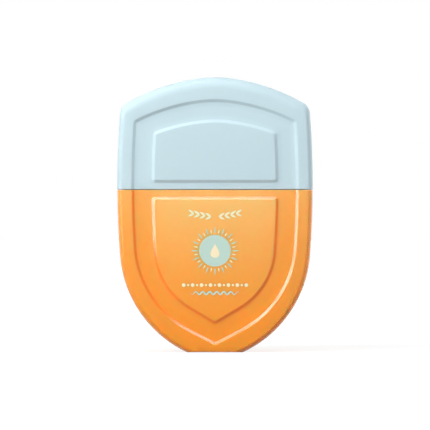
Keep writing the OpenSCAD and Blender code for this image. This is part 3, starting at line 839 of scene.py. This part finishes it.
def socket_profiles(s, n):
    """The inside and the outside of the inner cap's socket."""
    neck_top = s.body_top + n.neck_height
    flange_top, tip = neck_top + n.flange, plug_high.z
    boss, wall = n.tip_radius, n.socket_wall
    pin = n.orifice_radius - n.pin_clearance
    inner = n.neck_radius + n.bead_reach + n.socket_clearance
    roof, dome, top = boss + n.socket_space, flange_top + wall, tip + n.socket_space
    foot, edge = tip - n.pin_length, wall * CORNER_SHARE
    inside = [(0, foot), (pin * PIN_END, foot), (pin, foot + pin * CORNER_SHARE)]
    inside += [(pin, tip + n.seal_clearance), (boss, tip + n.seal_clearance), (boss, top), (roof, top)]
    inside += [(inner, dome), (inner, inner_low.z)]
    outside = [(inner + wall, inner_low.z + n.insert_plate), (inner + wall, dome + edge)]
    outside += [(roof + wall, top + edge), (roof, top + wall), (0, top + wall)]
    return inside, outside


def inner_cap_piece(s, n):
    """The inner cap: plate, socket, seal pin and gussets."""
    inside, outside = socket_profiles(s, n)
    base, top = inner_low.z, inner_low.z + n.insert_plate
    edge = n.soft_edge
    places = ((edge, base), (0, base + edge), (0, top - edge), (edge, top))
    rows = slab_rows(inner_high.x, inner_high.y, s.hollow_round, edge, *places)
    patches = [sheet(rows, closed=True), turned(inside), turned(outside)]
    x = outside[0][0] - n.socket_wall / 2
    corners = [(x, top - n.insert_plate / 2), (x + n.gusset_length, top - n.insert_plate / 2)]
    corners += [(x + n.gusset_length, top), (x, top + n.gusset_height)]
    thick = n.gusset_thickness / 2
    gusset = prism([np.array([(a, y, z) for a, z in corners]) for y in (-thick, thick)])
    return build("inner_cap_socket", patches + mirrored(gusset, 0), (base, top))


def stroke(path, widths):
    """A closed outline along a path, with the full width given at each of its points."""
    path = np.asarray(path, float)
    along = np.gradient(path, axis=0)
    along /= np.linalg.norm(along, axis=1)[:, None]
    across = np.column_stack((-along[:, 1], along[:, 0])) * np.asarray(widths)[:, None] / 2
    return np.vstack((path + across, (path - across)[::-1]))


def leaf(start, end, width, fullest=0.5):
    """A pointed leaf between two points, at its widest at that share of its length."""
    t = np.linspace(*LEAF_DRAWN, STROKE_STEPS)
    swell = np.sin(math.pi * t ** (math.log(0.5) / math.log(fullest)))
    return stroke(np.outer(1 - t, start) + np.outer(t, end), width * swell)


def printed(name, s, ink, shapes):
    """Ink on the front panel: each shape is a closed outline of X and level."""
    front, back = -s.depth / 2 - ink.film, -s.depth / 2 + ink.film
    patches = []
    for shape in shapes:
        patches += prism([at(shape, front), at(shape, back)])
    return build(name, patches)


def around(centre, radius, angle):
    """The point at that radius and angle round a centre."""
    return np.array((centre[0] + radius * math.cos(angle), centre[1] + radius * math.sin(angle)))


def disc(centre, radius, steps):
    """A closed circle."""
    return arc(centre, radius, 0, 2 * math.pi, steps)[:-1]


def ray_shapes(ink, turn, reach):
    """Thin pointed rays round the sun's disc, turned by a share of their spacing."""
    centre = (0, ink.sun_level)
    inner = ink.disc_radius + ink.ray_gap
    angles = math.pi / 2 + (np.arange(ink.rays) + turn) * 2 * math.pi / ink.rays
    ends = [(around(centre, inner, a), around(centre, reach, a)) for a in angles]
    return [leaf(start, end, ink.ray_width, RAY_FULLEST) for start, end in ends]


def wave_shape(ink):
    """A wavy line that thins out at both ends."""
    t = np.linspace(-0.5, 0.5, ink.waves * STROKE_STEPS)
    swing = ink.wave_height * np.sin(t * ink.waves * 2 * math.pi)
    widths = ink.wave_line * np.clip((0.5 - np.abs(t)) / WAVE_TAPER, THINNEST, 1)
    return stroke(np.column_stack((t * ink.wave_width, ink.wave_level + swing)), widths)


def sprig_shapes(ink):
    """Pairs of pointed leaves that spread to both sides and climb a little."""
    shapes = []
    for i in range(ink.leaves):
        x, level = ink.leaf_start + ink.leaf_pitch * i, ink.sprig_level + ink.leaf_climb * i
        for side in (-1, 1):
            for lift in (ink.leaf_lift, -ink.leaf_drop):
                tip = (side * (x + ink.leaf_run), level + lift)
                shapes.append(leaf((side * x, level), tip, ink.leaf_width, LEAF_FULLEST))
    return shapes


def bead_shapes(ink):
    """A row of round beads, large and small by turns."""
    places = (np.arange(ink.beads) / (ink.beads - 1) - 0.5) * ink.bead_width
    sizes = (ink.large_bead, ink.small_bead)
    return [disc((x, ink.bead_level), sizes[i % 2], STROKE_STEPS) for i, x in enumerate(places)]


def drop_shape(ink):
    """A drop, pointed at the top and round below."""
    t = np.linspace(0, 2 * math.pi, 2 * STROKE_STEPS + 1)[:-1]
    profile = np.sin(t) * np.abs(np.sin(t / 2)) ** DROP_TAPER
    x = ink.drop_width / 2 * profile / profile.max()
    return np.column_stack((x, ink.sun_level + ink.drop_height / 2 * np.cos(t)))[::-1]


def add(tree, kind, values=None, links=None, **settings):
    """A shader node with its settings, its input values and the sockets linked to its inputs."""
    node = tree.nodes.new("ShaderNode" + kind)
    for key, value in settings.items():
        setattr(node, key, value)
    for key, value in (values or {}).items():
        node.inputs[key].default_value = value
    for key, socket in (links or {}).items():
        tree.links.new(socket, node.inputs[key])
    return node


def plastic(name, base, roughness, ior, scatter=0.0, reach=(1.0, 0.9, 0.8), shine=0.5):
    """A material whose Principled shader has the constants of a plastic on its own sockets."""
    material = bpy.data.materials.new(name)
    material.use_nodes = True
    shader = material.node_tree.nodes["Principled BSDF"]
    shader.subsurface_method = "BURLEY"
    constants = {
        "Base Color": (*base, 1),
        "Roughness": roughness,
        "IOR": ior,
        "Specular IOR Level": shine,
        "Subsurface Weight": scatter,
        "Subsurface Radius": reach,
        "Subsurface Scale": SCATTER_LENGTH,
    }
    for socket, value in constants.items():
        shader.inputs[socket].default_value = value
    return material, material.node_tree, shader


def grain(tree, size):
    """Noise whose bumps are about that size in metres, in the piece's own space."""
    place = add(tree, "TexCoord")
    return add(tree, "TexNoise", {"Scale": 1 / size, "Detail": 2.0}, {"Vector": place.outputs["Object"]})


def finish_surface(tree, shader, size, height, low, high):
    """A fine moulded grain as bump, and slow changes of gloss between low and high."""
    fine, slow = grain(tree, size), grain(tree, GLOSS_PATCH)
    bump = add(tree, "Bump", {"Strength": 1.0, "Distance": height}, {"Height": fine.outputs["Fac"]})
    tree.links.new(bump.outputs["Normal"], shader.inputs["Normal"])
    span = {"From Min": GLOSS_SPREAD[0], "From Max": GLOSS_SPREAD[1], "To Min": low, "To Max": high}
    gloss = add(tree, "MapRange", span, {"Value": slow.outputs["Fac"]})
    tree.links.new(gloss.outputs["Result"], shader.inputs["Roughness"])


def blown_hdpe(colours, s):
    """Blow-moulded HDPE with a sprayed satin-gloss lacquer, its orange paled up the body by painted light
    and deepened by painted shade.
    """
    # The eye sees a soft broad shine and a faint orange-peel waviness; the paler shoulder is painted light.
    material, tree, shader = plastic(
        "blown HDPE, orange",
        colours.orange_top_painted_light,
        roughness=0.15,
        ior=1.5,
        scatter=1.0,
        reach=(4.0, 0.3, 0.1),
        shine=0.45,
    )
    place = add(tree, "TexCoord")
    axes = add(tree, "SeparateXYZ", links={"Vector": place.outputs["Object"]})
    out = add(tree, "Math", links={0: axes.outputs["Y"]}, operation="ABSOLUTE")
    beside = add(tree, "Math", links={0: axes.outputs["X"]}, operation="ABSOLUTE")
    face, floor = s.depth / 2, s.depth / 2 - s.relief
    past = add(tree, "Math", {1: (face + floor) / 2}, {0: out.outputs[0]}, operation="SUBTRACT")
    off = add(tree, "Math", links={0: past.outputs[0]}, operation="ABSOLUTE")
    pure, ends = s.relief * STEP_SHADE_FULL, s.relief * STEP_SHADE_ENDS
    # Painted light that turns the orange pale up the body, and painted shade that deepens it in the
    # recessed band and at the sides, towards the left and right rims, and on the sloping steps
    painted_masks = []
    for socket, start, end, first, last, curve in (
        (axes.outputs["Z"], 0, s.body_top, 0, 1, "LINEAR"),
        (out.outputs[0], floor, face, colours.recess_painted_shade, 0, "LINEAR"),
        (beside.outputs[0], RIM_SHADE_START, s.width / 2, 0, colours.rim_painted_shade, "SMOOTHSTEP"),
        (off.outputs[0], pure, ends, 1, 0, "SMOOTHSTEP"),
    ):
        span = {"From Min": start, "From Max": end, "To Min": first, "To Max": last}
        mask = add(tree, "MapRange", span, {"Value": socket}, interpolation_type=curve)
        painted_masks.append(mask.outputs["Result"])
    pale, recess, rim, near = painted_masks
    pale = add(tree, "Math", {1: PAINTED_LIGHT_CURVE}, {0: pale}, operation="POWER")
    # Only the relief's own vertices carry this mark, which keeps the painted step shade off the outer edges
    relief = add(tree, "Attribute", attribute_name="relief")
    step = add(tree, "Math", links={0: near, 1: relief.outputs["Fac"]}, operation="MULTIPLY")
    # Lays the painted light and the painted shades over the deep orange, one after another
    paint = {}
    for amount, tint in (
        (pale.outputs[0], colours.orange_top_painted_light),
        (recess, colours.orange_painted_shade),
        (rim, colours.orange_painted_shade),
        (step.outputs[0], colours.orange_step_painted_shade),
    ):
        both = {MIX_A: (*colours.orange_foot, 1), MIX_B: (*tint, 1)}
        mix = add(tree, "Mix", both, {0: amount, **paint}, data_type="RGBA")
        paint = {MIX_A: mix.outputs[MIX_RESULT]}
    tree.links.new(paint[MIX_A], shader.inputs["Base Color"])
    # Orange peel of a sprayed lacquer is about 0.8 mm across
    finish_surface(tree, shader, size=0.8 * MM, height=0.0015 * MM, low=0.14, high=0.18)
    return material


def moulded_pp(name, base, roughness, scatter):
    """Injection-moulded polypropylene."""
    # The eye sees an even, slightly soft gloss, with a fine spark-eroded grain that breaks up its shine.
    reach = (3.0, 3.0, 2.8)
    material, tree, shader = plastic(name, base, roughness, 1.49, scatter, reach, shine=0.12)
    # Spark-eroded grain is about 0.1 mm and is drawn at 0.4 mm, so that it shows
    low, high = roughness - PP_GLOSS_CHANGE, roughness + PP_GLOSS_CHANGE
    finish_surface(tree, shader, size=0.4 * MM, height=0.0015 * MM, low=low, high=high)
    return material


def moulded_ldpe(colours):
    """Injection-moulded low-density polyethylene."""
    # The eye sees a waxy, milky white that lets a little light through.
    name = "moulded LDPE, milky"
    material, tree, shader = plastic(name, colours.plug, roughness=0.42, ior=1.51, scatter=0.35)
    finish_surface(tree, shader, size=0.6 * MM, height=0.003 * MM, low=0.38, high=0.46)
    return material


def screen_ink(name, base):
    """Screen-printed ink with a satin face."""
    # The eye sees a flat even film, a little duller than the lacquer, with the mesh's faint dots.
    material, tree, shader = plastic(name, base, roughness=0.5, ior=1.48)
    # Screen mesh is about 0.1 mm and is drawn at 0.25 mm, so that it shows
    finish_surface(tree, shader, size=0.25 * MM, height=0.002 * MM, low=0.46, high=0.54)
    return material


def dress(piece, material, body, slot, *nodes):
    """Gives a piece its material, its body and the CAD nodes that it stands for; its finish slot is not
    used.
    """
    piece.data.materials.append(material)
    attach(piece, body)
    if nodes:
        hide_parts(*nodes)
    return piece


def soften(piece, width):
    """Rounds the sharp moulded edges of a piece."""
    bevel = piece.modifiers.new("Moulded edges", "BEVEL")
    bevel.width, bevel.segments, bevel.limit_method = width, 2, "ANGLE"
    bevel.angle_limit = CREASE
    return piece


class BOTTLE_OT_body(Operator):
    """Build the blow-moulded orange body"""

    bl_idname = "bottle.body"
    bl_label = "Body"

    def execute(self, context):
        s, n, colours = context.scene.bottle_shape, context.scene.bottle_neck, context.scene.bottle_colours
        dress(body_piece(s, n), blown_hdpe(colours, s), "bottle", "body_orange", "bottle_body")
        return {"FINISHED"}


class BOTTLE_OT_cap(Operator):
    """Build the pale blue pull-off cap"""

    bl_idname = "bottle.cap"
    bl_label = "Cap"

    def execute(self, context):
        s, n, colours = context.scene.bottle_shape, context.scene.bottle_neck, context.scene.bottle_colours
        material = moulded_pp("moulded PP, pale blue", colours.blue, roughness=0.45, scatter=0.6)
        dress(cap_piece(s, n), material, "cap", "cap_blue", "cap_shell")
        return {"FINISHED"}


class BOTTLE_OT_closure(Operator):
    """Build the nozzle plug, the snap collar and the inner cap"""

    bl_idname = "bottle.closure"
    bl_label = "Nozzle, collar and inner cap"

    def execute(self, context):
        s, n, colours = context.scene.bottle_shape, context.scene.bottle_neck, context.scene.bottle_colours
        dress(plug_piece(s, n), moulded_ldpe(colours), "bottle", "plug_white", "nozzle_plug")
        white = moulded_pp("moulded PP, natural", colours.white, roughness=0.42, scatter=0.15)
        collar = soften(collar_piece(n), n.soft_edge)
        dress(collar, white, "bottle", "collar_white", "snap_collar")
        inner = soften(inner_cap_piece(s, n), n.soft_edge)
        dress(inner, white, "cap", "inner_cap_white", "inner_cap")
        return {"FINISHED"}


class BOTTLE_OT_print(Operator):
    """Print the sun, the sprig and the rules on the body's front panel"""

    bl_idname = "bottle.print"
    bl_label = "Print"

    def execute(self, context):
        s, ink, colours = context.scene.bottle_shape, context.scene.bottle_ink, context.scene.bottle_colours
        blue = screen_ink("screen ink, pale blue", colours.ink_blue)
        cream = screen_ink("screen ink, cream", colours.ink_cream)
        sun = disc((0, ink.sun_level), ink.disc_radius, ROUND_STEPS)
        blue_shapes = [sun, wave_shape(ink)] + ray_shapes(ink, 0.0, ink.long_reach)
        cream_shapes = sprig_shapes(ink) + bead_shapes(ink) + ray_shapes(ink, 0.5, ink.short_reach)
        dress(printed("blue_print", s, ink, blue_shapes), blue, "bottle", "body_orange")
        dress(printed("cream_print", s, ink, cream_shapes), cream, "bottle", "body_orange")
        drop = printed("drop_print", s, ink, [drop_shape(ink)])
        for vertex in drop.data.vertices:
            vertex.co.y -= ink.film / 2
        dress(drop, cream, "bottle", "body_orange")
        return {"FINISHED"}


def white_background(tree, output, surface, glow):
    """Shows white to the camera and in reflections, and the given shader to everything else."""
    path = add(tree, "LightPath")
    seen = path.outputs["Is Camera Ray"]
    for ray in ("Is Glossy Ray", "Is Transmission Ray"):
        seen = add(tree, "Math", links={0: seen, 1: path.outputs[ray]}, operation="MAXIMUM").outputs[0]
    mix = add(tree, "MixShader", links={0: seen, 1: surface.outputs[0], 2: glow.outputs[0]})
    tree.links.new(mix.outputs[0], output.inputs["Surface"])


def studio_floor(settings):
    """Matt pale paper that looks white to the camera and still holds the bottle's shadow."""
    material = bpy.data.materials.new("floor paper, matt white")
    material.use_nodes = True
    tree = material.node_tree
    tree.nodes.clear()
    output = add(tree, "OutputMaterial")
    paper = add(tree, "BsdfDiffuse", {"Color": (*settings.floor_colour, 1)})
    place = add(tree, "TexCoord")
    away = add(tree, "VectorMath", links={0: place.outputs["Object"]}, operation="LENGTH")
    start, end, near = settings.glow_start, settings.glow_end, settings.floor_glow
    span = {"From Min": start, "From Max": end, "To Min": near, "To Max": 1}
    glow = add(tree, "MapRange", span, {"Value": away.outputs["Value"]})
    light = add(tree, "Emission", {"Color": (1, 1, 1, 1)}, {"Strength": glow.outputs["Result"]})
    both = add(tree, "AddShader", links={0: paper.outputs[0], 1: light.outputs[0]})
    white_background(tree, output, paper, both)
    return material


def studio_world(settings):
    """Even light from all round, white where the camera or a reflection sees it."""
    world = bpy.data.worlds.new("studio")
    world.use_nodes = True
    tree = world.node_tree
    tree.nodes.clear()
    output = add(tree, "OutputWorld")
    even = add(tree, "Background", {"Color": (1, 1, 1, 1), "Strength": settings.ambient})
    white = add(tree, "Background", {"Color": (1, 1, 1, 1), "Strength": 1.0})
    white_background(tree, output, even, white)
    return world


def lamp(name, place, target, along, sizes, power, in_gloss=True):
    """A soft oval lamp that looks at a point, its first size along a direction, seen in gloss or not."""
    light = bpy.data.lights.new(name, "AREA")
    light.shape, light.energy = "ELLIPSE", power
    light.size, light.size_y = sizes
    holder = bpy.data.objects.new(name, light)
    out = (Vector(place) - Vector(target)).normalized()
    across = out.cross(Vector(along)).normalized()
    holder.matrix_world = Matrix((across.cross(out), across, out)).transposed().to_4x4()
    holder.location = place
    holder.visible_camera = False
    holder.visible_glossy = in_gloss
    bpy.context.scene.collection.objects.link(holder)


class BOTTLE_OT_stage(Operator):
    """Build the floor, the lamps, the world and the camera"""

    bl_idname = "bottle.stage"
    bl_label = "Stage"

    def execute(self, context):
        scene, g = context.scene, context.scene.bottle_stage
        scene.view_settings.view_transform = "Standard"
        floor_row = arc((0, 0), g.floor_radius, 0, 2 * math.pi, ROUND_STEPS)[:-1]
        mesh = bpy.data.meshes.new("floor")
        mesh.from_pydata([(x, y, 0) for x, y in floor_row], [], [tuple(range(ROUND_STEPS))])
        floor = bpy.data.objects.new("floor", mesh)
        floor.data.materials.append(studio_floor(g))
        scene.collection.objects.link(floor)
        scene.world = studio_world(g)
        middle = (0, 0, g.camera_level)
        reach, ahead = g.key_distance * math.sin(g.key_slant), g.key_distance * math.cos(g.key_slant)
        x, level = around((0, g.camera_level), reach, g.key_bearing)
        lamp("key", (x, -ahead, level), middle, UP, (g.key_size, g.key_size), g.key)
        for degrees, power_share in STRIP_SHARES:
            turn = math.radians(degrees)
            x, level = around((0, g.camera_level), g.arc_radius, turn)
            along = (-math.sin(turn), 0, math.cos(turn))
            sizes, power = (g.strip_length, g.strip_width), g.grazing * power_share
            lamp(f"strip {degrees}", (x, -g.arc_ahead, level), middle, along, sizes, power)
        for name, (place, size) in BACK_LAMPS.items():
            lamp(name.replace("_", " "), place, middle, UP, (size, size), getattr(g, name), in_gloss=False)
        camera = bpy.data.cameras.new("camera")
        camera.sensor_width = FILM_WIDTH
        camera.lens = camera.sensor_width * g.camera_distance / g.view_width
        camera.clip_start, camera.clip_end = CAMERA_REACH
        holder = bpy.data.objects.new("camera", camera)
        holder.location = (0, -g.camera_distance, g.camera_level)
        holder.rotation_euler = (math.pi / 2, 0, 0)
        scene.collection.objects.link(holder)
        scene.camera = holder
        return {"FINISHED"}


class BOTTLE_PT_panel(Panel):
    """Lists what the bottle is built from"""

    bl_label = "Sunscreen bottle"
    bl_idname = "BOTTLE_PT_panel"
    bl_space_type = "VIEW_3D"
    bl_region_type = "UI"
    bl_category = "Bottle"

    def draw(self, context):
        for step in STEPS:
            self.layout.operator(step.bl_idname)
        for group in GROUPS:
            settings = getattr(context.scene, group)
            column = self.layout.column(heading=group.replace("bottle_", "").capitalize())
            for name in settings.__annotations__:
                column.prop(settings, name)


STEPS = (BOTTLE_OT_body, BOTTLE_OT_cap, BOTTLE_OT_closure, BOTTLE_OT_print, BOTTLE_OT_stage)
GROUPS = {
    "bottle_shape": BottleShape,
    "bottle_neck": NeckShape,
    "bottle_ink": InkShape,
    "bottle_colours": BottleColours,
    "bottle_stage": StageSettings,
}


def register():
    """Registers the settings, the operators and the panel."""
    for kind in (*GROUPS.values(), *STEPS, BOTTLE_PT_panel):
        bpy.utils.register_class(kind)
    for name, group in GROUPS.items():
        setattr(bpy.types.Scene, name, PointerProperty(type=group))


def unregister():
    """Takes the settings, the operators and the panel away again."""
    for name in GROUPS:
        delattr(bpy.types.Scene, name)
    for kind in (BOTTLE_PT_panel, *reversed(STEPS), *reversed(GROUPS.values())):
        bpy.utils.unregister_class(kind)


def main():
    """Builds the bottle and its stage."""
    register()
    bpy.ops.bottle.body()
    bpy.ops.bottle.cap()
    bpy.ops.bottle.closure()
    bpy.ops.bottle.print()
    bpy.ops.bottle.stage()


if __name__ == "__main__":
    main()
